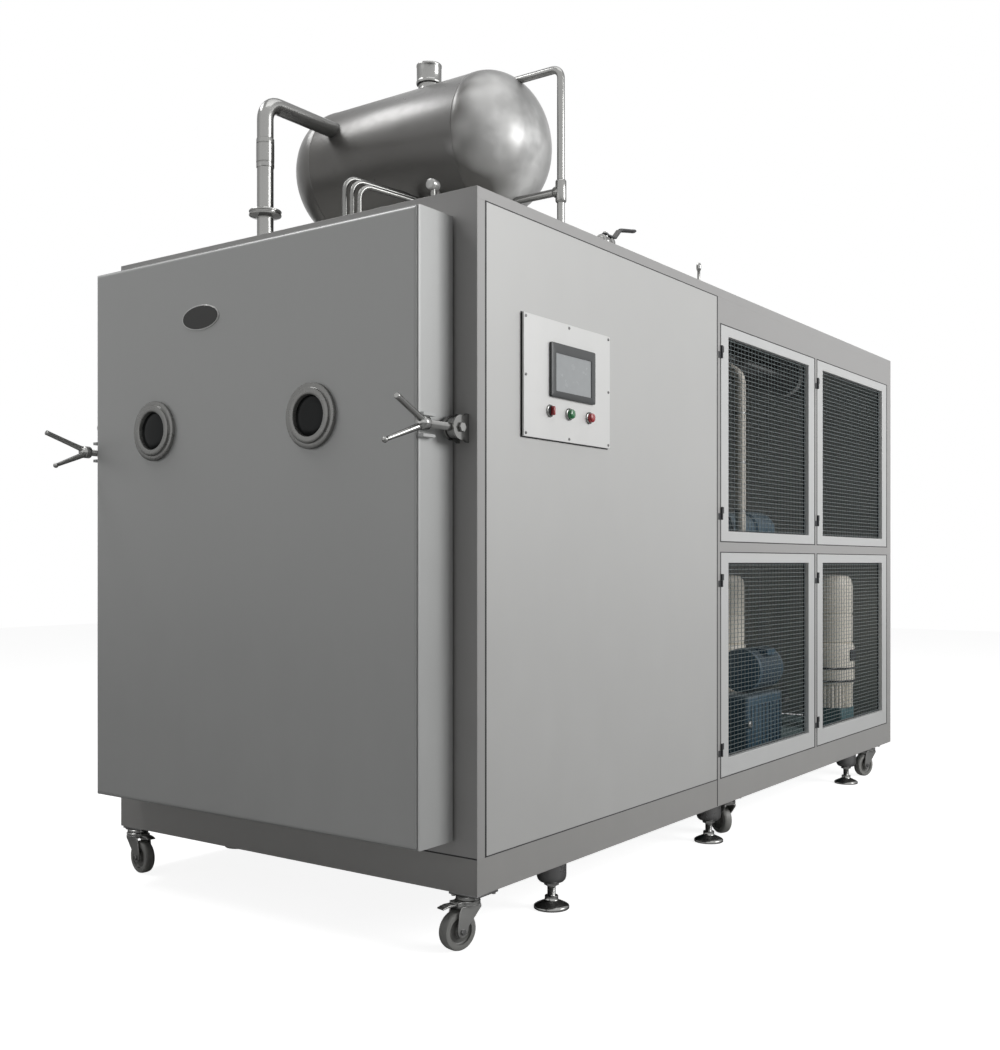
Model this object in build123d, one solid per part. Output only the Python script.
from build123d import *
from math import sqrt
import os

# Freeze dryer, in millimetres. +X is its right-hand side seen from the door, +Y its rear and +Z up.
# Every piece is built from the cabinet's front plane (y = 0), its middle (x = 0) and the floor (z = 0).
# The whole machine is then moved along Y, so that its origin is the bottom centre of its bounding box.

# Cabinet
cabinet_width = 1400.0
cabinet_length = 3200.0
roof_height = 1900.0
chamber_module = 1360.0
base_height = 92.0
rail_flange = 60.0
rail_wall = 5.0
cross_rail_width = 50.0
cross_rail_count = 4
frame_tube = 36.0
frame_wall = 2.5
mid_post = 30.0
rear_post = 58.0
top_rail = 30.0
door_band = 88.0
mid_rail_share = 0.473
mullion = 28.0
sheet = 2.0
sheet_gap = 1.5
sheet_fold = 18.0

# Chamber vessel and its mouth
chamber_side_room = 145.0
chamber_floor_room = 90.0
chamber_roof_room = 120.0
chamber_rear_room = 130.0
vessel_wall = 10.0
flange_width = 55.0
flange_thickness = 16.0
face_gap = 2.0
rib_count = 4
rib_end_room = 70.0
rib_height = 40.0
rib_thickness = 8.0

# Heating shelves
shelf_count = 7
shelf_low_room = 100.0
shelf_high_room = 190.0
shelf_thickness = 16.0
shelf_side_room = 55.0
shelf_front = 60.0
rack_post = 30.0
header_radius = 12.0
header_share = 0.54
stub_radius = 7.0

# Chamber door
door_side_lap = 73.0
door_low_lap = 53.0
door_high_lap = 54.0
door_depth = 139.0
door_skin = 3.0
door_edge_radius = 12.0
liner_thickness = 12.0
gasket_thickness = 6.0
gasket_width = 22.0
glass_places = (-350.0, 275.0)
glass_drop = 489.0
glass_radius = 58.0
glass_thickness = 12.0
ring_radius = 86.0
ring_inner_radius = 72.0
ring_depth = 10.0
ring_inner_depth = 16.0
ring_sleeve = 4.0
badge_x = -154.0
badge_drop = 184.0
badge_half_length = 75.0
badge_half_height = 35.0
badge_thickness = 3.0
knob_drop = 459.0
knob_radius = 15.0

# Door hinges and clamps
clamp_drop = 534.0
clamp_offset = 30.0
bolt_radius = 10.0
hinge_pin_y = -40.0
hinge_pin_radius = 10.0
hinge_radius = 19.0
hinge_segment = 42.0
hinge_low_rise = 293.0
hinge_high_drop = 234.0
pin_clearance = 0.05
stack_gap = 0.4
eye_radius = 26.0
eye_thickness = 22.0
clamp_pin_y = -32.0
clamp_pin_radius = 8.0
clamp_nut_radius = 13.0
clamp_nut_height = 7.0
ear_radius = 31.0
ear_thickness = 6.0
ear_foot = 36.0
nut_hub_radius = 18.0
nut_hub_length = 22.0
nut_neck_radius = 13.0
nut_neck_length = 8.0
nut_gap = 1.5
arm_radius = 7.5
arm_tip_radius = 5.5
arm_root_depth = 6.0
arm_reach = 132.0
arm_spread = 53.0
lug_height = 60.0
lug_reach = 17.0
lug_length = 46.0
lug_thickness = 8.0
lug_setback = 3.0
nut_roll = 22.0

# Mesh doors
mesh_door_depth = 25.0
mesh_stile = 60.0
mesh_rail = 35.0
mesh_lower_rail = 62.0
mesh_sheet = 1.2
door_gap = 1.5
leaf_length = 44.0
leaf_width = 20.0
leaf_thickness = 2.0
knuckle_radius = 4.0
leaf_pin_radius = 2.0
leaf_inset = 95.0

# Control panel
panel_front = 191.0
panel_length = 439.0
panel_drop = 604.0
panel_height = 323.0
panel_thickness = 5.0
panel_standoff = 4.0
standoff_inset = 7.0
panel_window = 20.0
screen_place = (234.0, 189.5)
screen_length = 226.0
screen_tall = 147.0
screen_frame = 8.0
screen_body = 50.0
screen_edge = 16.0
button_places = (123.0, 218.0, 323.0)
button_rise = 77.0
button_radius = 13.0
collar_radius = 17.0
collar_depth = 5.0
button_reach = 12.0
button_travel = 4.0
grip_inset = 2.0
button_stem = 8.0
button_stem_length = 40.0

# Casters and feet; a caster's place is its inset from the side, its place along the side and its turn
wheel_radius = 50.0
wheel_width = 32.0
wheel_edge = 6.5
wheel_dish_radius = 33.0
wheel_hub_radius = 17.0
caster_head = 38.0
caster_trail = 32.0
caster_plate = 90.0
caster_plate_thickness = 6.0
race_radius = 30.0
race_height = 9.0
crown_radius = 33.0
crown_height = 12.0
kingpin_radius = 6.0
leg_half_width = 20.5
leg_thickness = 4.0
leg_gap = 3.0
bridge_thickness = 2.0
axle_radius = 5.0
axle_boss = 14.0
axle_nut_radius = 8.0
axle_nut_height = 6.0
pedal_length = 46.0
pedal_width = 26.0
pedal_thickness = 4.0
pedal_pin_radius = 3.0
cheek_inner = 20.0
front_caster_y = 20.0
middle_caster_gap = 200.0
rear_caster_inset = 150.0
caster_turns = {
    "front_right": (45.0, -15.0),
    "front_left": (55.0, 82.0),
    "middle_right": (60.0, -120.0),
    "middle_left": (60.0, 12.0),
    "rear_right": (55.0, -20.0),
    "rear_left": (55.0, -8.0),
}
braked_casters = ("front_right", "front_left")
foot_inset = 65.0
front_foot_y = 435.0
middle_foot_gap = 70.0
rear_foot_inset = 407.0
foot_pad_radius = 50.0
foot_pad_height = 8.0
foot_dome_height = 16.0
foot_collar_radius = 19.0
foot_collar_height = 12.0
foot_stem_radius = 12.0
socket_radius = 42.0
socket_neck_radius = 30.0
socket_height = 64.0
socket_taper = 14.0
lock_nut_radius = 21.0
lock_nut_height = 10.0

# Buffer tank; heights are above the roof
tank_y = 720.0
tank_rise = 400.0
tank_radius = 223.0
tank_left = -375.0
tank_right = 230.0
tank_head = 165.0
tank_wall = 4.0
tank_stub_x = -36.0
tank_stub_radius = 36.0
tank_stub_height = 26.0
tank_cap_radius = 41.5
tank_cap_height = 66.0
saddle_x = (-250.0, 120.0)
saddle_thickness = 12.0
saddle_half_width = 150.0
saddle_foot = 70.0

# Pipework on the roof; heights are above the roof, or from the tank's middle
riser_x = -276.0
riser_y = 213.0
riser_radius = 25.5
riser_over_tank_middle = 90.0
riser_bend = 55.0
clamp_ring_rise = 144.0
clamp_ring_radius = 50.0
clamp_ring_height = 20.0
union_rise = 285.0
union_height = 90.0
union_radius = 30.0
balance_x = 483.0
balance_radius = 12.0
balance_under_tank_top = 41.0
branch_over_tank_bottom = 27.0
balance_bend = 30.0
tee_radius = 17.0
tee_height = 64.0
pipe_wall = 2.0
valve_inset = 60.0
valve_y = 720.0
valve_rise = 23.0
valve_body_radius = 20.0
valve_body_length = 62.0
valve_pipe_radius = 12.0
valve_stem_radius = 6.0
valve_stem_height = 12.0
lever_length = 178.0
lever_width = 22.0
lever_thickness = 6.0
lever_rise = 48.0
lever_flat = 52.0
lever_ramp = 82.0
vent_inset = 50.0
vent_y = 1323.0
vent_radius = 8.5
vent_height = 84.0
sample_tube_radius = 7.5
sample_tubes_at = ((-24.0, 236.0), (6.0, 220.0), (36.0, 200.0))
sample_tube_y = 300.0
sample_tube_bend = 42.0
sample_tube_run = (50.0, 235.0)
sample_tube_drop = 8.0
sample_tube_end = (66.0, 340.0, 190.0)
fitting_x = 319.0
fitting_rise = 147.0
fitting_radius = 16.5

# Machinery behind the mesh doors; a compressor's place is its inset from the side and its share of the
# free length behind the pump
deck_thickness = 4.0
deck_inset = 8.0
upper_deck_rise = 10.0
upper_deck_inner = 60.0
trap_x = 90.0
trap_radius = 300.0
trap_gap = 30.0
trap_length = 640.0
trap_head = 60.0
trap_wall = 40.0
duct_radius = 120.0
pump_inset = 180.0
pump_gap = 460.0
pump_size = (150.0, 330.0, 230.0)
motor_radius = 85.0
motor_length = 240.0
booster_gap = 170.0
booster_size = (170.0, 560.0, 150.0)
compressor_places = ((155.0, 0.686), (510.0, 0.312), (950.0, 0.676))
compressor_radius = 105.0
compressor_stand = 96.0
compressor_stand_side = 160.0
compressor_skirt = 98.0
compressor_can = 186.0
compressor_head = 300.0
compressor_band_rises = (14.0, 70.0)
compressor_band = 8.0
fluid_tank_inset = 270.0
fluid_tank_drop = 125.0
fluid_tank_radius = 85.0
fluid_tank_front_gap = 40.0
fluid_tank_rear_gap = 412.0
lagged_radius = 19.0
lagged_inset = 75.0
lagged_gap = 325.0
exchanger_size = (130.0, 420.0, 380.0)
exchanger_inset = 220.0
exchanger_gap = 110.0

# Service ports on the rear panel; heights are above the base frame
port_radius = 16.8
port_length = 55.0
port_xs = (-420.0, -300.0)
port_rise = 190.0
port_flange_radius = 30.0
port_flange_thickness = 6.0
drain_x = 200.0
drain_rise = 70.0
drain_radius = 13.4

# Levels and planes that follow from the sizes above
half_width = cabinet_width / 2
base_bottom = 2 * wheel_radius + caster_head
base_top = base_bottom + base_height
post_top = roof_height - top_rail
band_bottom = post_top - door_band
mid_rail_bottom = base_top + mid_rail_share * (roof_height - base_top) - frame_tube / 2
mid_rail_top = mid_rail_bottom + frame_tube
bay_front = chamber_module + mid_post
bay_rear = cabinet_length - rear_post
bay_middle = (bay_front + bay_rear) / 2
chamber_half_width = half_width - chamber_side_room
chamber_bottom = base_top + chamber_floor_room
chamber_top = roof_height - chamber_roof_room
chamber_depth = chamber_module - chamber_rear_room
door_half_width = chamber_half_width + door_side_lap
door_bottom = chamber_bottom - door_low_lap
door_top = chamber_top + door_high_lap
door_rear_y = -gasket_thickness
door_front_y = door_rear_y - door_depth
glass_height = door_top - glass_drop
clamp_height = door_top - clamp_drop
clamp_x = door_half_width + clamp_offset
hinge_heights = (door_bottom + hinge_low_rise, door_top - hinge_high_drop)
hub_y = (door_front_y - nut_gap, door_front_y - nut_gap - nut_hub_length)
arm_tip_y = door_front_y - arm_reach
panel_bottom = roof_height - panel_drop
panel_face = half_width + panel_standoff + panel_thickness
button_height = panel_bottom + button_rise
button_ys = [panel_front + place for place in button_places]
tank_z = roof_height + tank_rise
valve_x = half_width - valve_inset
valve_z = roof_height + valve_rise
vent_x = half_width - vent_inset
trap_front = bay_front + trap_gap
pump_x = half_width - pump_inset
front_reach = arm_tip_radius - arm_tip_y
centre_y = (cabinet_length + port_length - front_reach) / 2

nodes = {}


def block(x, y, z):
    """A box between pairs of x, y and z values."""
    middle = [(a + b) / 2 for a, b in (x, y, z)]
    return Pos(*middle) * Box(x[1] - x[0], y[1] - y[0], z[1] - z[0])


def box_tube(x, y, z, along):
    """A rectangular tube, open at its two ends along the axis numbered along."""
    spans = [x, y, z]
    inner = [span if i == along else (span[0] + frame_wall, span[1] - frame_wall)
             for i, span in enumerate(spans)]
    return block(*spans) - block(*inner)


def rod(start, end, radius):
    """A round bar from one point to another."""
    run = Vector(*end) - Vector(*start)
    bar = Cylinder(radius, run.length, align=(Align.CENTER, Align.CENTER, Align.MIN))
    return Plane(origin=start, z_dir=run) * bar


def tube(start, end, radius, wall):
    return rod(start, end, radius) - rod(start, end, radius - wall)


def cone(start, end, start_radius, end_radius):
    run = Vector(*end) - Vector(*start)
    body = Cone(start_radius, end_radius, run.length, align=(Align.CENTER, Align.CENTER, Align.MIN))
    return Plane(origin=start, z_dir=run) * body


def bent_tube(points, bend, radius, wall=0.0):
    """A tube along straight runs joined by round bends; solid where wall is 0."""
    path = FilletPolyline(*points, radius=bend)
    start = Plane(origin=points[0], z_dir=Vector(*points[1]) - Vector(*points[0]))
    section = Circle(radius) - Circle(radius - wall) if wall else Circle(radius)
    return sweep(start * section, path=path)


def mirrored(shape):
    return mirror(shape, about=Plane.YZ)


def side_sheet(y, z):
    """A right-hand side sheet, flush with the cabinet side, with its four edges folded inwards."""
    skin = block((half_width - sheet, half_width), y, z)
    body = block((half_width - sheet_fold, half_width), y, z)
    inner = block((half_width - sheet_fold, half_width - sheet), (y[0] + sheet, y[1] - sheet),
                  (z[0] + sheet, z[1] - sheet))
    return skin + (body - inner)


def add(name, *solids):
    nodes[name] = list(solids)


# Base frame: side channels, end channels and cross rails inside them

def side_channel():
    web = block((half_width - rail_wall, half_width), (0, cabinet_length), (base_bottom, base_top))
    inner = half_width - rail_flange
    y = (rail_wall, cabinet_length - rail_wall)
    low = block((inner, half_width - rail_wall), y, (base_bottom, base_bottom + rail_wall))
    high = block((inner, half_width - rail_wall), y, (base_top - rail_wall, base_top))
    return web + low + high


def end_channel():
    edge = half_width - rail_wall
    inner = half_width - rail_flange
    web = block((-edge, edge), (0, rail_wall), (base_bottom, base_top))
    low = block((-inner, inner), (rail_wall, rail_flange), (base_bottom, base_bottom + rail_wall))
    high = block((-inner, inner), (rail_wall, rail_flange), (base_top - rail_wall, base_top))
    return web + low + high


def cross_rail(y):
    edge = half_width - rail_wall
    z = (base_bottom + rail_wall, base_top - rail_wall)
    body = block((-edge, edge), (y, y + cross_rail_width), z)
    hollow = block((-edge, edge), (y + rail_wall, y + cross_rail_width),
                   (z[0] + rail_wall, z[1] - rail_wall))
    return body - hollow


front_channel = end_channel()
rear_channel = Pos(0, cabinet_length, 0) * mirror(front_channel, about=Plane.XZ)
cross_rail_pitch = cabinet_length / (cross_rail_count + 1)
cross_rails = [cross_rail((i + 1) * cross_rail_pitch) for i in range(cross_rail_count)]
add("base_frame", side_channel(), mirrored(side_channel()), front_channel, rear_channel, *cross_rails)


# Cabinet frame: posts, rails, the band over the doors, the mid rail and the mullion

def frame_side():
    x = (half_width - frame_tube, half_width)
    posts = [box_tube(x, y, (base_top, post_top), 2) for y in
             ((sheet, sheet + frame_tube), (chamber_module, bay_front), (bay_rear, cabinet_length))]
    long_rail = box_tube(x, (sheet, cabinet_length), (post_top, roof_height), 1)
    band = box_tube(x, (bay_front, bay_rear), (band_bottom, post_top), 1)
    centre = (bay_middle - mullion / 2, bay_middle + mullion / 2)
    upright = box_tube(x, centre, (base_top, band_bottom), 2)
    rails = [box_tube(x, y, (mid_rail_bottom, mid_rail_top), 1)
             for y in ((bay_front, centre[0]), (centre[1], bay_rear))]
    return [*posts, long_rail, band, upright, *rails]


def frame_crossbars():
    x = (frame_tube - half_width, half_width - frame_tube)
    spans = ((chamber_module, bay_front), (cabinet_length - frame_tube, cabinet_length))
    return [box_tube(x, y, (post_top, roof_height), 0) for y in spans]


right_side = frame_side()
add("cabinet_frame", *right_side, *[mirrored(bar) for bar in right_side], *frame_crossbars())


# Front face: four sheet strips around the chamber mouth

mouth_half = chamber_half_width + flange_width + face_gap
mouth_low = chamber_bottom - flange_width - face_gap
mouth_high = chamber_top + flange_width + face_gap
strip = block((mouth_half, half_width), (0, sheet), (base_top, roof_height))
strip += block((mouth_half, mouth_half + sheet), (sheet, sheet_fold), (mouth_low, mouth_high))
over = block((-mouth_half, mouth_half), (0, sheet), (mouth_high, roof_height))
under = block((-mouth_half, mouth_half), (0, sheet), (base_top, mouth_low))
add("front_surround", strip, mirrored(strip), over, under)


# Side, rear and roof panels

side_y = (sheet + frame_tube + sheet_gap, chamber_module - sheet_gap)
side_z = (base_top + sheet_gap, post_top - sheet_gap)
chamber_side = side_sheet(side_y, side_z)
window = block((half_width - sheet_fold, half_width),
               (panel_front + panel_window, panel_front + panel_length - panel_window),
               (panel_bottom + panel_window, panel_bottom + panel_height - panel_window))
add("side_panel_right", chamber_side - window)

bay_columns = ((bay_front, bay_middle - mullion / 2), (bay_middle + mullion / 2, bay_rear))
bay_rows = ((base_top, mid_rail_bottom), (mid_rail_top, band_bottom))
left_sheets = [mirrored(chamber_side)]
for column in bay_columns:
    for row in bay_rows:
        left_sheets.append(mirrored(side_sheet((column[0] + sheet_gap, column[1] - sheet_gap),
                                               (row[0] + sheet_gap, row[1] - sheet_gap))))
add("side_panels_left", *left_sheets)


def port(x, z, radius):
    """A bulkhead pipe stub with a round flange behind the rear panel."""
    stub = tube((x, cabinet_length - 2 * port_flange_radius, z), (x, cabinet_length + port_length, z),
                radius, pipe_wall)
    ring = rod((x, cabinet_length, z), (x, cabinet_length + port_flange_thickness, z), port_flange_radius)
    ring -= rod((x, cabinet_length, z), (x, cabinet_length + port_flange_thickness, z), radius)
    return stub + ring


port_specs = [(x, base_top + port_rise, port_radius) for x in port_xs]
port_specs.append((drain_x, base_top + drain_rise, drain_radius))
rear_x = half_width - frame_tube - sheet_gap
rear = block((-rear_x, rear_x), (cabinet_length - sheet, cabinet_length), side_z)
for x, z, radius in port_specs:
    rear -= rod((x, cabinet_length - sheet, z), (x, cabinet_length, z), radius)
add("rear_panel", rear, *[port(*spec) for spec in port_specs])

roof_z = (roof_height - sheet, roof_height)
front_roof = block((-rear_x, rear_x), (sheet + sheet_gap, chamber_module - sheet_gap), roof_z)
rear_roof = block((-rear_x, rear_x), (bay_front + sheet_gap, cabinet_length - frame_tube - sheet_gap),
                  roof_z)
for x, y, radius in ((riser_x, riser_y, riser_radius), (balance_x, tank_y, balance_radius)):
    front_roof -= rod((x, y, roof_z[0]), (x, y, roof_z[1]), radius)
add("roof_panels", front_roof, rear_roof)


# Machine decks

deck_x = half_width - frame_tube - deck_inset
deck_top = base_top + deck_thickness
upper_deck_z = mid_rail_bottom + upper_deck_rise
upper_deck_top = upper_deck_z + deck_thickness
lower_deck = block((-deck_x, deck_x), (bay_front, bay_rear), (base_top, deck_top))
upper_deck = block((upper_deck_inner, deck_x), (bay_front, bay_middle), (upper_deck_z, upper_deck_top))
add("machine_decks", lower_deck, upper_deck)


# Chamber vessel: five walls, the mouth flange and flat stiffening ribs

outer_half = chamber_half_width + vessel_wall
outer_low = chamber_bottom - vessel_wall
outer_high = chamber_top + vessel_wall
wall_y = (flange_thickness, chamber_depth)
wall_right = block((chamber_half_width, outer_half), wall_y, (outer_low, outer_high))
floor_wall = block((-chamber_half_width, chamber_half_width), wall_y, (outer_low, chamber_bottom))
roof_wall = block((-chamber_half_width, chamber_half_width), wall_y, (chamber_top, outer_high))
back_y = (chamber_depth, chamber_depth + vessel_wall)
back_wall = block((-outer_half, outer_half), back_y, (outer_low, outer_high))
trap_z = chamber_bottom + trap_radius
back_wall -= rod((trap_x, back_y[0], trap_z), (trap_x, back_y[1], trap_z), duct_radius)
shelf_half_width = chamber_half_width - shelf_side_room
shelf_length = chamber_depth - 2 * shelf_front
shelf_first = chamber_bottom + shelf_low_room
shelf_pitch = (chamber_top - shelf_high_room - shelf_first) / (shelf_count - 1)
header_x = header_share * chamber_half_width
header_low = shelf_first + shelf_thickness / 2
header_y = shelf_front + shelf_length + 2 * header_radius
for side in (-1, 1):
    back_wall -= rod((side * header_x, back_y[0], header_low), (side * header_x, back_y[1], header_low),
                     header_radius)
flange_half = chamber_half_width + flange_width
flange_low = chamber_bottom - flange_width
flange_high = chamber_top + flange_width
flange_y = (0, flange_thickness)
flange_side = block((chamber_half_width, flange_half), flange_y, (flange_low, flange_high))
flange_bottom = block((-chamber_half_width, chamber_half_width), flange_y, (flange_low, chamber_bottom))
flange_top = block((-chamber_half_width, chamber_half_width), flange_y, (chamber_top, flange_high))
ribs = []
rib_half = outer_half + rib_height
rib_pitch = (chamber_depth - rib_end_room) / rib_count
for i in range(1, rib_count + 1):
    y = (i * rib_pitch, i * rib_pitch + rib_thickness)
    z = (outer_low - rib_height, outer_high + rib_height)
    side_rib = block((outer_half, rib_half), y, z)
    ribs += [side_rib, mirrored(side_rib)]
    ribs += [block((-outer_half, outer_half), y, pair) for pair in ((z[0], outer_low), (outer_high, z[1]))]
cradle_z = (base_top, outer_low - rib_height)
cradle_lap = (frame_tube - rib_thickness) / 2
cradles = [block((-outer_half, outer_half), (y - cradle_lap, y - cradle_lap + frame_tube), cradle_z)
           for y in (rib_pitch, rib_count * rib_pitch)]
add("chamber_vessel", wall_right, mirrored(wall_right), floor_wall, roof_wall, back_wall, flange_side,
    mirrored(flange_side), flange_bottom, flange_top, *ribs, *cradles)


# Heating shelves on their rack, with a fluid header each side

shelf_y = (shelf_front, shelf_front + shelf_length)
shelves = []
for i in range(shelf_count):
    z = shelf_first + i * shelf_pitch
    shelves.append(block((-shelf_half_width, shelf_half_width), shelf_y, (z, z + shelf_thickness)))
rack = []
for y in (shelf_y[0] + rack_post, shelf_y[1] - 2 * rack_post):
    post = block((shelf_half_width, shelf_half_width + rack_post), (y, y + rack_post),
                 (chamber_bottom, chamber_top))
    rack += [post, mirrored(post)]
add("heating_shelves", *shelves, *rack)

headers = []
header_high = header_low + (shelf_count - 1) * shelf_pitch
for side in (-1, 1):
    x = side * header_x
    header = rod((x, header_y, header_low - 2 * header_radius),
                 (x, header_y, header_high + 2 * header_radius), header_radius)
    for i in range(shelf_count):
        z = header_low + i * shelf_pitch
        header += rod((x, shelf_y[1], z), (x, header_y, z), stub_radius)
    header += rod((x, header_y, header_low), (x, back_y[1] + 2 * header_radius, header_low),
                  header_radius)
    headers.append(header)
add("fluid_headers", *headers)


# Chamber door: shell, liner, gasket, sight glasses, badge, lugs and the hinge-side bolt

shell_y = (door_front_y, door_rear_y)
glass_holes = [rod((x, shell_y[0], glass_height), (x, shell_y[1], glass_height), glass_radius)
               for x in glass_places]
shell = block((-door_half_width, door_half_width), shell_y, (door_bottom, door_top))
front_edges = shell.faces().sort_by(Axis.Y)[0].edges()
shell = fillet(front_edges, door_edge_radius)
inner_half = door_half_width - door_skin
inner_z = (door_bottom + door_skin, door_top - door_skin)
shell -= block((-inner_half, inner_half), (shell_y[0] + door_skin, shell_y[1]), inner_z)
for hole in glass_holes:
    shell -= hole


def lug_ear(side, up):
    """One triangular cheek of a door lug, above or below the clamp's nut."""
    root = side * door_half_width
    tip = side * (door_half_width + lug_reach)
    far = clamp_height + up * lug_height / 2
    near = clamp_height + up * (lug_height / 2 - lug_thickness)
    y = door_front_y + lug_setback
    outline = Polyline((y, near), (y, far), (y + lug_length, far), (y + lug_length, near), close=True)
    return Plane(origin=(min(root, tip), 0, 0), x_dir=(0, 1, 0), z_dir=(1, 0, 0)) * extrude(
        make_face(outline), lug_reach)


def hinge_knuckle(z, low, high):
    x = -clamp_x
    ring = rod((x, hinge_pin_y, z + low), (x, hinge_pin_y, z + high), hinge_radius)
    arm = block((x, -door_half_width), (hinge_pin_y - hinge_radius, hinge_pin_y), (z + low, z + high))
    bore = rod((x, hinge_pin_y, z + low), (x, hinge_pin_y, z + high), hinge_pin_radius + pin_clearance)
    return ring + arm - bore


door_knuckles = [hinge_knuckle(z, stack_gap, hinge_segment) for z in hinge_heights]
knob_y = door_front_y + 2 * knob_radius
knob_z = door_top - knob_drop
side_knob = rod((-door_half_width, knob_y, knob_z), (-door_half_width - knob_radius, knob_y, knob_z),
                knob_radius)
lugs = [lug_ear(side, up) for side in (-1, 1) for up in (-1, 1)]
add("door_shell", shell, *lugs, *door_knuckles, side_knob)

liner = block((-inner_half, inner_half), (shell_y[1] - liner_thickness, shell_y[1]), inner_z)
for hole in glass_holes:
    liner -= hole
add("door_liner", liner)

gasket_half = chamber_half_width + flange_width / 2 + gasket_width / 2
gasket_low = chamber_bottom - flange_width / 2 - gasket_width / 2
gasket_high = chamber_top + flange_width / 2 + gasket_width / 2
gasket_y = (door_rear_y, 0)
gasket_side = block((gasket_half - gasket_width, gasket_half), gasket_y, (gasket_low, gasket_high))
gasket_x = (gasket_width - gasket_half, gasket_half - gasket_width)
gasket_bars = [block(gasket_x, gasket_y, pair) for pair in
               ((gasket_low, gasket_low + gasket_width), (gasket_high - gasket_width, gasket_high))]
add("door_gasket", gasket_side, mirrored(gasket_side), *gasket_bars)


def sight_ring(x):
    """Stepped ring on the door's face, around the glass and its tube through the door."""
    face = (x, door_front_y, glass_height)
    outer = rod(face, (x, door_front_y - ring_depth, glass_height), ring_radius)
    inner = rod(face, (x, door_front_y - ring_inner_depth, glass_height), ring_inner_radius)
    sleeve = rod(face, (x, door_rear_y, glass_height), glass_radius)
    bore = rod((x, door_front_y - ring_inner_depth, glass_height), (x, door_rear_y, glass_height),
               glass_radius - ring_sleeve)
    return outer + inner + sleeve - bore


def sight_glass(x):
    front = door_front_y - ring_inner_depth / 2
    return rod((x, front, glass_height), (x, front + glass_thickness, glass_height),
               glass_radius - ring_sleeve)


add("sight_rings", *[sight_ring(x) for x in glass_places])
add("sight_glasses", *[sight_glass(x) for x in glass_places])

badge_height = door_top - badge_drop
badge_face = Plane(origin=(badge_x, door_front_y, badge_height), x_dir=(1, 0, 0), z_dir=(0, -1, 0))
add("badge_plate", badge_face * extrude(Ellipse(badge_half_length, badge_half_height), badge_thickness))


# Clamp brackets and door hinge brackets on the front face

def hinge_bracket(z):
    x = -clamp_x
    ring = rod((x, hinge_pin_y, z - hinge_segment), (x, hinge_pin_y, z), hinge_radius)
    foot = block((x - hinge_radius, x + hinge_radius), (hinge_pin_y, 0), (z - hinge_segment, z))
    pin = rod((x, hinge_pin_y, z - hinge_segment), (x, hinge_pin_y, z + hinge_segment + stack_gap),
              hinge_pin_radius)
    return ring + foot + pin


def clamp_ear(x0):
    """A round ear with a foot on the cabinet's front face."""
    disc = rod((x0, clamp_pin_y, clamp_height), (x0 + ear_thickness, clamp_pin_y, clamp_height), ear_radius)
    foot = block((x0, x0 + ear_thickness), (clamp_pin_y / 2, 0),
                 (clamp_height - ear_foot, clamp_height + ear_foot))
    return disc + foot - block((x0, x0 + ear_thickness), (0, ear_radius), (0, roof_height))


eye_half = eye_thickness / 2
ear_outer = eye_half + stack_gap + ear_thickness
clamp_pin = rod((clamp_x - ear_outer, clamp_pin_y, clamp_height),
                (clamp_x + ear_outer, clamp_pin_y, clamp_height), clamp_pin_radius)
nut_plane = Plane(origin=(clamp_x + ear_outer, clamp_pin_y, clamp_height), z_dir=(1, 0, 0))
clamp_nut = extrude(nut_plane * RegularPolygon(clamp_nut_radius, 6), clamp_nut_height)
ears = [clamp_ear(clamp_x - ear_outer), clamp_ear(clamp_x + eye_half + stack_gap)]
add("front_brackets", clamp_pin + ears[0] + ears[1] + clamp_nut,
    *[hinge_bracket(z) for z in hinge_heights])


def swing_bolt(x):
    """Eye bolt along Y: an eye on the pin's axis and a shank that ends inside the nut."""
    pin_line = ((x - eye_half, clamp_pin_y, clamp_height), (x + eye_half, clamp_pin_y, clamp_height))
    shank = rod((x, clamp_pin_y, clamp_height), (x, hub_y[1], clamp_height), bolt_radius)
    return rod(*pin_line, eye_radius) + shank - rod(*pin_line, clamp_pin_radius + pin_clearance)


def yoke_nut(x, side):
    """Hub with two tapered arms that sweep forward."""
    hub = rod((x, hub_y[0], clamp_height), (x, hub_y[1], clamp_height), nut_hub_radius)
    neck = rod((x, hub_y[1], clamp_height), (x, hub_y[1] - nut_neck_length, clamp_height), nut_neck_radius)
    nut = hub + neck
    for up in (-1, 1):
        root = (x, hub_y[1] + arm_root_depth, clamp_height + up * nut_neck_radius / 2)
        tip = (x, arm_tip_y, clamp_height + up * arm_spread)
        nut += cone(root, tip, arm_radius, arm_tip_radius) + Pos(*tip) * Sphere(arm_tip_radius)
    nut -= rod((x, hub_y[0], clamp_height), (x, hub_y[1], clamp_height), bolt_radius + pin_clearance)
    return nut.rotate(Axis((x, 0, clamp_height), (0, 1, 0)), side * nut_roll)


hinge_side_bolt = rod((-clamp_x, hinge_pin_y - hinge_radius, clamp_height),
                      (-clamp_x, hub_y[1], clamp_height), bolt_radius)
hinge_side_block = block((-clamp_x - hinge_radius, -door_half_width),
                         (hinge_pin_y - hinge_radius, hinge_pin_y + hinge_radius),
                         (clamp_height - hinge_segment, clamp_height + hinge_segment))
add("swing_bolt_left", hinge_side_bolt + hinge_side_block)
add("swing_bolt_right", swing_bolt(clamp_x))
add("yoke_nut_left", yoke_nut(-clamp_x, -1))
add("yoke_nut_right", yoke_nut(clamp_x, 1))


# Mesh doors, hinged at their front edge, and the fixed hinge leaves

door_inner = half_width - mesh_door_depth
leaf_pin_x = half_width + leaf_thickness + knuckle_radius / 2
leaf_x = (half_width, half_width + leaf_thickness)


def leaf_heights(z):
    return (z[0] + leaf_inset, z[1] - leaf_inset)


def pin_rod(y, z, radius):
    """A bar on a mesh door's hinge line, over a pair of z values."""
    return rod((leaf_pin_x, y, z[0]), (leaf_pin_x, y, z[1]), radius)


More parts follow.
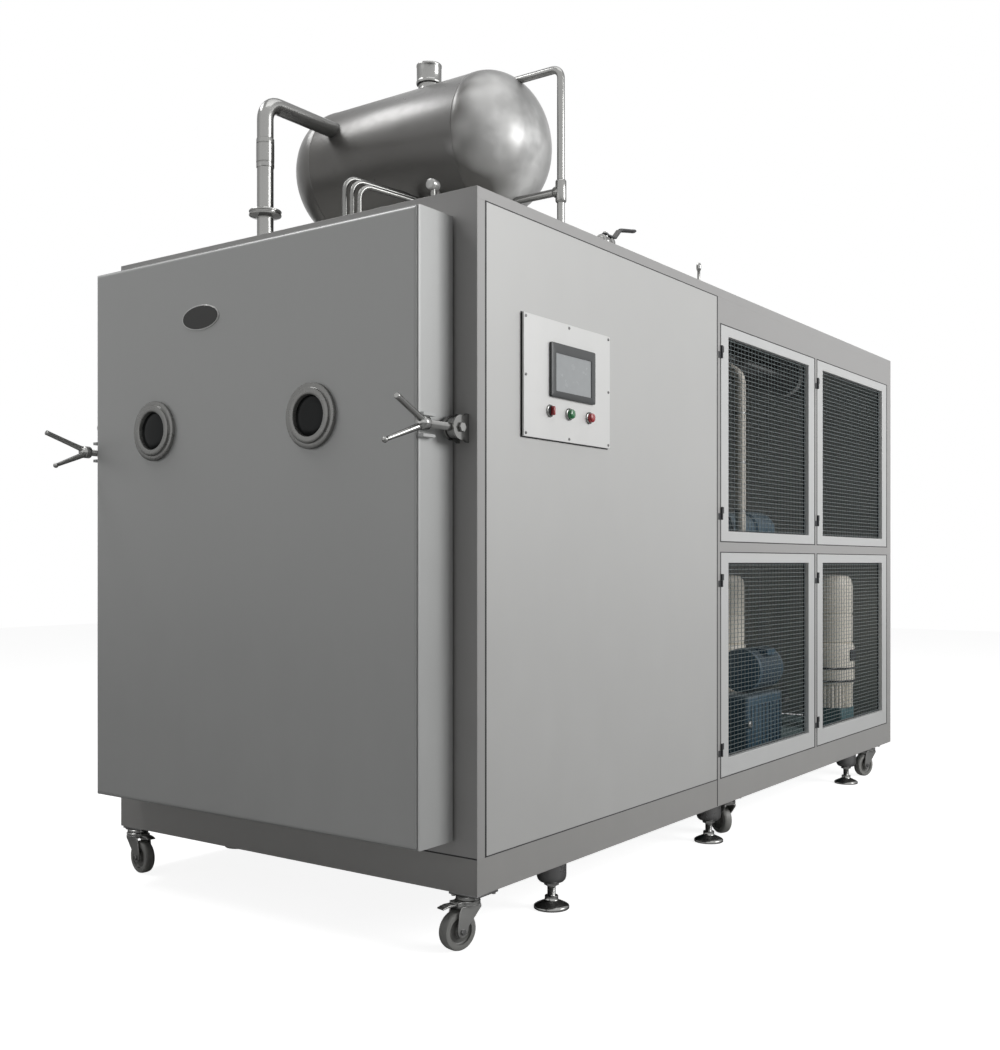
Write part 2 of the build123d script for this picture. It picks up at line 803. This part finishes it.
def mesh_door(y, z, lower_rail):
    """A frame of two stiles and two rails, the mesh sheet and the door's half of two hinges."""
    x = (door_inner, half_width)
    clear = (y[0] + mesh_stile, y[1] - mesh_stile)
    stiles = [block(x, (y[0], clear[0]), z), block(x, (clear[1], y[1]), z)]
    rails = [block(x, clear, (z[0], z[0] + lower_rail)), block(x, clear, (z[1] - mesh_rail, z[1]))]
    middle = (door_inner + half_width) / 2
    mesh = block((middle - mesh_sheet / 2, middle + mesh_sheet / 2), clear,
                 (z[0] + lower_rail, z[1] - mesh_rail))
    hinge_y = y[0] - door_gap / 2
    knuckles = []
    for height in leaf_heights(z):
        span = (height + stack_gap / 2, height + leaf_length / 2)
        leaf = block(leaf_x, (hinge_y, hinge_y + leaf_width), span)
        barrel = pin_rod(hinge_y, span, knuckle_radius) - block((0, half_width), y, z)
        knuckles.append(leaf + barrel - pin_rod(hinge_y, span, leaf_pin_radius + pin_clearance))
    return [*stiles, *rails, mesh, *knuckles]


def fixed_leaves(y, z):
    """The cabinet's half of two hinges, with the pins."""
    hinge_y = y[0] - door_gap / 2
    leaves = []
    for height in leaf_heights(z):
        span = (height - leaf_length / 2, height - stack_gap / 2)
        leaf = block(leaf_x, (hinge_y - leaf_width, hinge_y), span)
        pin = pin_rod(hinge_y, (span[0], height + leaf_length / 2), leaf_pin_radius)
        leaves.append(pin_rod(hinge_y, span, knuckle_radius) + leaf + pin)
    return leaves


hinge_leaves = []
for column_name, column in zip(("front", "rear"), bay_columns):
    for row_name, row, lower_rail in zip(("lower", "upper"), bay_rows, (mesh_lower_rail, mesh_rail)):
        y = (column[0] + door_gap, column[1] - door_gap)
        z = (row[0] + door_gap, row[1] - door_gap)
        add(f"mesh_door_{row_name}_{column_name}", *mesh_door(y, z, lower_rail))
        hinge_leaves += fixed_leaves(y, z)
add("mesh_door_hinges", *hinge_leaves)


# Control panel, touch screen, turning knob and two push buttons

panel_y_span = (panel_front, panel_front + panel_length)
panel_z_span = (panel_bottom, panel_bottom + panel_height)
plate_x = (half_width + panel_standoff, panel_face)
front_plate = block(plate_x, panel_y_span, panel_z_span)
spacer = block((half_width, half_width + panel_standoff),
               (panel_y_span[0] + standoff_inset, panel_y_span[1] - standoff_inset),
               (panel_z_span[0] + standoff_inset, panel_z_span[1] - standoff_inset))
inside = block((half_width, half_width + panel_standoff),
               (panel_y_span[0] + panel_window, panel_y_span[1] - panel_window),
               (panel_z_span[0] + panel_window, panel_z_span[1] - panel_window))
screen_middle = (panel_front + screen_place[0], panel_bottom + screen_place[1])
screen_y = (screen_middle[0] - screen_length / 2, screen_middle[0] + screen_length / 2)
screen_z = (screen_middle[1] - screen_tall / 2, screen_middle[1] + screen_tall / 2)
body_y = (screen_y[0] + screen_edge, screen_y[1] - screen_edge)
body_z = (screen_z[0] + screen_edge, screen_z[1] - screen_edge)
front_plate -= block(plate_x, body_y, body_z)
for y in button_ys:
    front_plate -= rod((plate_x[0], y, button_height), (plate_x[1], y, button_height),
                       button_stem + pin_clearance)
add("control_panel", front_plate, spacer - inside)

bezel = block((panel_face, panel_face + screen_frame), screen_y, screen_z)
add("touch_screen", bezel + block((panel_face - screen_body, panel_face), body_y, body_z))


def collar(y):
    start = (panel_face, y, button_height)
    end = (panel_face + collar_depth, y, button_height)
    return rod(start, end, collar_radius) - rod(start, end, button_radius + pin_clearance)


def stem(y):
    return rod((panel_face - button_stem_length, y, button_height),
               (panel_face + button_travel, y, button_height), button_stem)


def push_button(y):
    cap = rod((panel_face + button_travel, y, button_height),
              (panel_face + collar_depth + button_reach, y, button_height), button_radius)
    return fillet(cap.edges().sort_by(Axis.X)[-1], button_travel) + stem(y)


def selector_knob(y):
    """A turning knob with a raised grip across its face."""
    cap = rod((panel_face + button_travel, y, button_height),
              (panel_face + collar_depth + button_travel, y, button_height), button_radius)
    grip = block((panel_face + collar_depth, panel_face + collar_depth + button_reach),
                 (y - button_travel, y + button_travel),
                 (button_height - button_radius + grip_inset, button_height + button_radius - grip_inset))
    return cap + grip + stem(y)


add("button_collars", *[collar(y) for y in button_ys])
add("selector_knob", selector_knob(button_ys[0]))
add("start_button", push_button(button_ys[1]))
add("stop_button", push_button(button_ys[2]))


# Casters: fixed plates with races and kingpins, forks, wheels and brake pedals

race_top = base_bottom - caster_plate_thickness
race_bottom = race_top - race_height
crown_top = race_bottom - stack_gap
crown_bottom = crown_top - crown_height
leg_inner = wheel_width / 2 + leg_gap


def caster_mount(x, y):
    """A plate under the base rail, and the race with its kingpin below the plate."""
    middle = half_width - caster_plate / 2
    plate_middle = max(-middle, min(middle, x))
    plate_y = max(caster_plate / 2, min(cabinet_length - caster_plate / 2, y))
    flat = block((plate_middle - caster_plate / 2, plate_middle + caster_plate / 2),
                 (plate_y - caster_plate / 2, plate_y + caster_plate / 2), (race_top, base_bottom))
    race = rod((x, y, race_bottom), (x, y, race_top), race_radius)
    kingpin = rod((x, y, crown_bottom), (x, y, race_bottom), kingpin_radius)
    return flat, race + kingpin


def caster_fork():
    """Fork about its own swivel axis, with the wheel behind it along -Y."""
    crown = rod((0, 0, crown_bottom), (0, 0, crown_top), crown_radius)
    crown -= rod((0, 0, crown_bottom), (0, 0, crown_top), kingpin_radius + pin_clearance)
    outline = Polyline((-leg_half_width, crown_bottom), (leg_half_width, crown_bottom),
                       (axle_boss - caster_trail, wheel_radius - axle_nut_radius),
                       (-caster_trail, wheel_radius - 2 * axle_nut_radius),
                       (-axle_boss - caster_trail, wheel_radius - axle_nut_radius), close=True)
    face = Plane(origin=(leg_inner, 0, 0), x_dir=(0, 1, 0), z_dir=(1, 0, 0)) * make_face(outline)
    leg = extrude(face, leg_thickness)
    bridge = block((-leg_inner - leg_thickness, leg_inner + leg_thickness), (-leg_half_width, leg_half_width),
                   (crown_bottom - bridge_thickness, crown_bottom))
    end = leg_inner + leg_thickness + axle_nut_height
    axle = rod((-end, -caster_trail, wheel_radius), (end, -caster_trail, wheel_radius), axle_radius)
    nuts = []
    for side in (-1, 1):
        inner = side * (leg_inner + leg_thickness)
        nuts.append(rod((inner, -caster_trail, wheel_radius), (side * end, -caster_trail, wheel_radius),
                        axle_nut_radius))
    return crown + leg + mirrored(leg) + bridge + axle + nuts[0] + nuts[1]


def caster_wheel():
    rim = rod((-wheel_width / 2, -caster_trail, wheel_radius), (wheel_width / 2, -caster_trail, wheel_radius),
              wheel_radius)
    rim = fillet(rim.edges(), wheel_edge)
    for side in (-1, 1):
        dish = rod((side * wheel_width / 4, -caster_trail, wheel_radius),
                   (side * wheel_width / 2, -caster_trail, wheel_radius), wheel_dish_radius)
        rim -= dish
    hub_half = leg_inner - stack_gap
    hub_ends = ((-hub_half, -caster_trail, wheel_radius), (hub_half, -caster_trail, wheel_radius))
    return rim + rod(*hub_ends, wheel_hub_radius) - rod(*hub_ends, axle_radius + pin_clearance)


pedal_offset = crown_radius + 2 * pedal_pin_radius + 2 * stack_gap
pedal_z = crown_bottom + crown_height / 2


def brake_pedal():
    """A foot pedal ahead of the wheel, on a pin between two small cheeks of its own."""
    start = -pedal_offset
    tread = block((-pedal_width / 2, pedal_width / 2), (start - pedal_length, start),
                  (pedal_z - pedal_thickness / 2, pedal_z + pedal_thickness / 2))
    barrel = rod((-pedal_width / 2, start, pedal_z), (pedal_width / 2, start, pedal_z), 2 * pedal_pin_radius)
    bore = rod((-pedal_width / 2, start, pedal_z), (pedal_width / 2, start, pedal_z),
               pedal_pin_radius + pin_clearance)
    return tread + barrel - bore


def pedal_bracket():
    start = -pedal_offset
    pin = rod((-leg_inner, start, pedal_z), (leg_inner, start, pedal_z), pedal_pin_radius)
    cheek = block((pedal_width / 2 + stack_gap, leg_inner), (start - pedal_pin_radius, -cheek_inner),
                  (crown_bottom, crown_top))
    return pin + cheek + mirrored(cheek)


row_y = {"front": front_caster_y, "middle": chamber_module + middle_caster_gap,
         "rear": cabinet_length - rear_caster_inset}
caster_places = {}
for name, (inset, turn) in caster_turns.items():
    row, side_name = name.split("_")
    x = half_width - inset if side_name == "right" else inset - half_width
    caster_places[name] = (x, row_y[row], turn)

for name, (x, y, turn) in caster_places.items():
    seat = Pos(x, y, 0) * Rot(0, 0, turn)
    fork = caster_fork()
    if name in braked_casters:
        fork += pedal_bracket()
        add(f"brake_pedal_{name}", seat * brake_pedal())
    add(f"caster_fork_{name}", seat * fork)
    add(f"caster_wheel_{name}", seat * caster_wheel())


# Levelling feet in tapered sockets

def foot_socket(x, y):
    bottom = base_bottom - socket_height
    bore = rod((x, y, bottom), (x, y, base_bottom), foot_stem_radius)
    straight = rod((x, y, bottom + socket_taper), (x, y, base_bottom), socket_radius)
    taper = cone((x, y, bottom), (x, y, bottom + socket_taper), socket_neck_radius, socket_radius)
    return straight + taper - bore


def levelling_foot(x, y):
    bottom = base_bottom - socket_height
    dome_top = foot_pad_height + foot_dome_height
    pad = rod((x, y, 0), (x, y, foot_pad_height), foot_pad_radius)
    dome = cone((x, y, foot_pad_height), (x, y, dome_top), foot_pad_radius, foot_collar_radius)
    collar_ring = rod((x, y, dome_top), (x, y, dome_top + foot_collar_height), foot_collar_radius)
    stem = rod((x, y, foot_pad_height), (x, y, base_bottom), foot_stem_radius)
    nut_plane = Plane(origin=(x, y, bottom - lock_nut_height), z_dir=(0, 0, 1))
    nut = extrude(nut_plane * RegularPolygon(lock_nut_radius, 6), lock_nut_height)
    return pad + dome + collar_ring + stem + nut


foot_ys = (front_foot_y, chamber_module + middle_foot_gap, cabinet_length - rear_foot_inset)
feet_at = [(side * (half_width - foot_inset), y) for side in (-1, 1) for y in foot_ys]
mounts = [piece for x, y, _ in caster_places.values() for piece in caster_mount(x, y)]
add("underframe_mounts", *mounts, *[foot_socket(x, y) for x, y in feet_at])
add("levelling_feet", *[levelling_foot(x, y) for x, y in feet_at])


# Buffer tank on two saddles

def tank_end(x, radius, depth, side):
    """One elliptical head, which bulges by depth from x towards side."""
    rim = Line((x, 0), (x, radius))
    axis_line = Line((x, 0), (x + side * depth, 0))
    start = 0 if side > 0 else 90
    curve = EllipticalCenterArc((x, 0), depth, radius, start_angle=start, arc_size=90)
    return revolve(make_face([rim, curve, axis_line]), axis=Axis.X)


def tank_solid(radius, head):
    shell = rod((tank_left, 0, 0), (tank_right, 0, 0), radius)
    shell += tank_end(tank_left, radius, head, -1) + tank_end(tank_right, radius, head, 1)
    return Pos(0, tank_y, tank_z) * shell


full_tank = tank_solid(tank_radius, tank_head)
stub_top = tank_z + tank_radius + tank_stub_height
stub_foot = (tank_stub_x, tank_y, tank_z + tank_radius / 2)
stub_end = (tank_stub_x, tank_y, stub_top)
tank = full_tank + rod(stub_foot, stub_end, tank_stub_radius)
tank -= tank_solid(tank_radius - tank_wall, tank_head - tank_wall)
tank -= rod(stub_foot, stub_end, tank_stub_radius - tank_wall)
tank_cap = rod(stub_end, (tank_stub_x, tank_y, stub_top + tank_cap_height), tank_cap_radius)


def saddle(x):
    x_span = (x - saddle_thickness / 2, x + saddle_thickness / 2)
    web = block(x_span, (tank_y - saddle_half_width, tank_y + saddle_half_width), (roof_height, tank_z))
    foot = block((x - saddle_foot / 2, x + saddle_foot / 2),
                 (tank_y - saddle_half_width, tank_y + saddle_half_width),
                 (roof_height, roof_height + saddle_thickness))
    return web - full_tank + foot


add("buffer_tank", tank, tank_cap)
add("tank_saddles", *[saddle(x) for x in saddle_x])


# Tank pipework

riser_top = tank_z + riser_over_tank_middle
ring_bottom = roof_height + clamp_ring_rise - clamp_ring_height / 2
union_bottom = roof_height + union_rise
riser = bent_tube([(riser_x, riser_y, roof_z[0]), (riser_x, riser_y, riser_top),
                   (riser_x, tank_y, riser_top)], riser_bend, riser_radius)
riser -= full_tank
riser += rod((riser_x, riser_y, ring_bottom), (riser_x, riser_y, ring_bottom + clamp_ring_height),
             clamp_ring_radius)
riser += rod((riser_x, riser_y, union_bottom), (riser_x, riser_y, union_bottom + union_height), union_radius)

balance_top = tank_z + tank_radius - balance_under_tank_top
branch_z = tank_z - tank_radius + branch_over_tank_bottom
balance = bent_tube([(balance_x, tank_y, roof_z[0]), (balance_x, tank_y, balance_top),
                     (tank_right, tank_y, balance_top)], balance_bend, balance_radius)
balance += rod((balance_x, tank_y, branch_z), (tank_right, tank_y, branch_z), balance_radius)
balance += rod((balance_x, tank_y, branch_z - tee_height / 2), (balance_x, tank_y, branch_z + tee_height / 2),
               tee_radius)
balance -= full_tank


def sample_tube(x, rise):
    """A thin tube that rises from the roof, bends over and runs back under the tank to its shell."""
    top = roof_height + rise
    run_x, run_y = sample_tube_run
    end_x, end_y, end_rise = sample_tube_end
    points = [(x, sample_tube_y, roof_height), (x, sample_tube_y, top),
              (x + run_x, sample_tube_y + run_y, top - sample_tube_drop),
              (x + end_x, sample_tube_y + end_y, roof_height + end_rise)]
    return bent_tube(points, sample_tube_bend, sample_tube_radius) - full_tank


fitting_z = roof_height + fitting_rise
fitting = rod((fitting_x, sample_tube_y, roof_height), (fitting_x, sample_tube_y, fitting_z),
              sample_tube_radius)
fitting += rod((fitting_x, sample_tube_y - fitting_radius, fitting_z),
               (fitting_x, sample_tube_y + fitting_radius, fitting_z), fitting_radius)
add("sample_tubes", *[sample_tube(x, rise) for x, rise in sample_tubes_at], fitting)


# Ball valve and vent on the right-hand roof edge

valve_body = rod((valve_x, valve_y - valve_body_length / 2, valve_z),
                 (valve_x, valve_y + valve_body_length / 2, valve_z), valve_body_radius)
valve_body += rod((valve_x, valve_y, roof_height), (valve_x, valve_y, valve_z), valve_pipe_radius)
stem_top = valve_z + valve_body_radius + valve_stem_height
valve_body += rod((valve_x, valve_y, valve_z), (valve_x, valve_y, stem_top), valve_stem_radius)
vent = rod((vent_x, vent_y, roof_height), (vent_x, vent_y, roof_height + vent_height), vent_radius)
add("roof_pipework", riser, balance, valve_body, vent)

grip_z = stem_top - lever_thickness
lever_hub = rod((valve_x, valve_y, grip_z - lever_thickness), (valve_x, valve_y, grip_z), lever_width / 2)
lever_hub -= rod((valve_x, valve_y, grip_z - lever_thickness), (valve_x, valve_y, grip_z),
                 valve_stem_radius + pin_clearance)
lever_low = grip_z - lever_thickness
lever_line = Polyline((lever_width / 3, lever_low), (lever_flat, lever_low),
                      (lever_ramp, lever_low + lever_rise * 2 / 3), (lever_length, lever_low + lever_rise),
                      (lever_length, grip_z + lever_rise), (lever_ramp, grip_z + lever_rise * 2 / 3),
                      (lever_flat - lever_thickness, grip_z), (lever_width / 3, grip_z), close=True)
lever_plane = Plane(origin=(valve_x - lever_width / 2, valve_y, 0), x_dir=(0, 1, 0), z_dir=(1, 0, 0))
add("valve_lever", lever_hub + extrude(lever_plane * make_face(lever_line), lever_width))


# Machinery: cold trap, pumps, compressors, fluid tank, exchanger and lagged pipes

trap = rod((trap_x, trap_front, trap_z), (trap_x, trap_front + trap_length, trap_z), trap_radius)
trap = fillet(trap.edges(), trap_head / 2)
trap -= rod((trap_x, trap_front + trap_wall, trap_z), (trap_x, trap_front + trap_length - trap_wall, trap_z),
            trap_radius - trap_wall)
duct_ends = ((trap_x, back_y[0], trap_z), (trap_x, trap_front + trap_wall, trap_z))
trap += rod(*duct_ends, duct_radius)
trap -= rod(*duct_ends, duct_radius - vessel_wall)
leg_top = trap_z - trap_radius * sqrt(3) / 2 + frame_tube / 2
trap_legs = []
for x in (trap_x - trap_radius / 2, trap_x + trap_radius / 2):
    leg = block((x - frame_tube / 2, x + frame_tube / 2),
                (trap_front + trap_head, trap_front + trap_length - trap_head), (deck_top, leg_top))
    trap_legs.append(leg - trap)
add("cold_trap", trap, *trap_legs)

pump_y = bay_front + pump_gap
booster_y = bay_front + booster_gap
pump = block((pump_x - pump_size[0] / 2, pump_x + pump_size[0] / 2), (pump_y, pump_y + pump_size[1]),
             (deck_top, deck_top + pump_size[2]))
motor_z = deck_top + pump_size[2] + motor_radius
pump_motor = rod((pump_x, pump_y + motor_radius, motor_z),
                 (pump_x, pump_y + motor_radius + motor_length, motor_z), motor_radius)
booster_z = upper_deck_top + booster_size[2] / 2
booster = rod((pump_x, booster_y, booster_z), (pump_x, booster_y + booster_size[1], booster_z),
              booster_size[2] / 2)
booster_feet = [block((pump_x - booster_size[0] / 2, pump_x + booster_size[0] / 2), (y, y + frame_tube),
                      (upper_deck_top, upper_deck_top + 2 * deck_thickness)) for y in
                (booster_y + frame_tube, booster_y + booster_size[1] - 2 * frame_tube)]
add("vacuum_pump", pump + pump_motor, booster + booster_feet[0] + booster_feet[1])


def compressor(x, y):
    """A square stand, and on it an upright can on a skirt, with two clamp bands and a narrower head."""
    stand_top = deck_top + compressor_stand
    skirt_top = stand_top + compressor_skirt
    can_top = skirt_top + compressor_can
    half_side = compressor_stand_side / 2
    stand = block((x - half_side, x + half_side), (y - half_side, y + half_side), (deck_top, stand_top))
    skirt = rod((x, y, stand_top), (x, y, skirt_top), compressor_radius - compressor_band)
    can = rod((x, y, skirt_top), (x, y, can_top), compressor_radius)
    can = fillet(can.edges(), compressor_band)
    for rise in compressor_band_rises:
        z = skirt_top + rise
        can += rod((x, y, z), (x, y, z + compressor_band), compressor_radius + compressor_band / 2)
    head = rod((x, y, can_top), (x, y, can_top + compressor_head), compressor_radius - compressor_band)
    return stand, skirt + can + head


pump_end = pump_y + pump_size[1]
compressors = [compressor(half_width - inset, pump_end + share * (bay_rear - pump_end))
               for inset, share in compressor_places]
add("compressors", *[piece for machine in compressors for piece in machine])

fluid_tank_x = half_width - fluid_tank_inset
fluid_tank_z = roof_height - fluid_tank_drop
fluid_y = (bay_front + fluid_tank_front_gap, bay_rear - fluid_tank_rear_gap)
fluid_tank = rod((fluid_tank_x, fluid_y[0], fluid_tank_z), (fluid_tank_x, fluid_y[1], fluid_tank_z),
                 fluid_tank_radius)
hangers = [block((fluid_tank_x - fluid_tank_radius, fluid_tank_x + fluid_tank_radius), (y, y + frame_tube),
                 (fluid_tank_z, roof_z[0])) - fluid_tank
           for y in (fluid_y[0] + fluid_tank_radius, fluid_y[1] - 2 * fluid_tank_radius)]
add("fluid_tank", fluid_tank, *hangers)

exchanger_x = exchanger_inset - half_width
exchanger_y = bay_front + exchanger_gap
exchanger = block((exchanger_x - exchanger_size[0] / 2, exchanger_x + exchanger_size[0] / 2),
                  (exchanger_y, exchanger_y + exchanger_size[1]), (deck_top, deck_top + exchanger_size[2]))
add("heat_exchanger", exchanger)

lagged_x = half_width - lagged_inset
lagged_y = bay_front + lagged_gap
lagged_top = fluid_tank_z - fluid_tank_radius - 2 * lagged_radius
lagged = bent_tube([(lagged_x, lagged_y, upper_deck_top), (lagged_x, lagged_y, lagged_top),
                    (fluid_tank_x, lagged_y + 4 * lagged_radius, fluid_tank_z)],
                   3 * lagged_radius, lagged_radius)
add("lagged_pipe", lagged - fluid_tank)


os.makedirs("parts", exist_ok=True)
to_origin = Pos(0, -centre_y, 0)
for node_name, solids in nodes.items():
    placed = [to_origin * solid for solid in solids]
    whole = placed[0] if len(placed) == 1 else Compound(children=placed)
    export_step(whole, f"parts/{node_name}.step")
print(len(nodes), "nodes; cabinet front plane at y =", -centre_y)
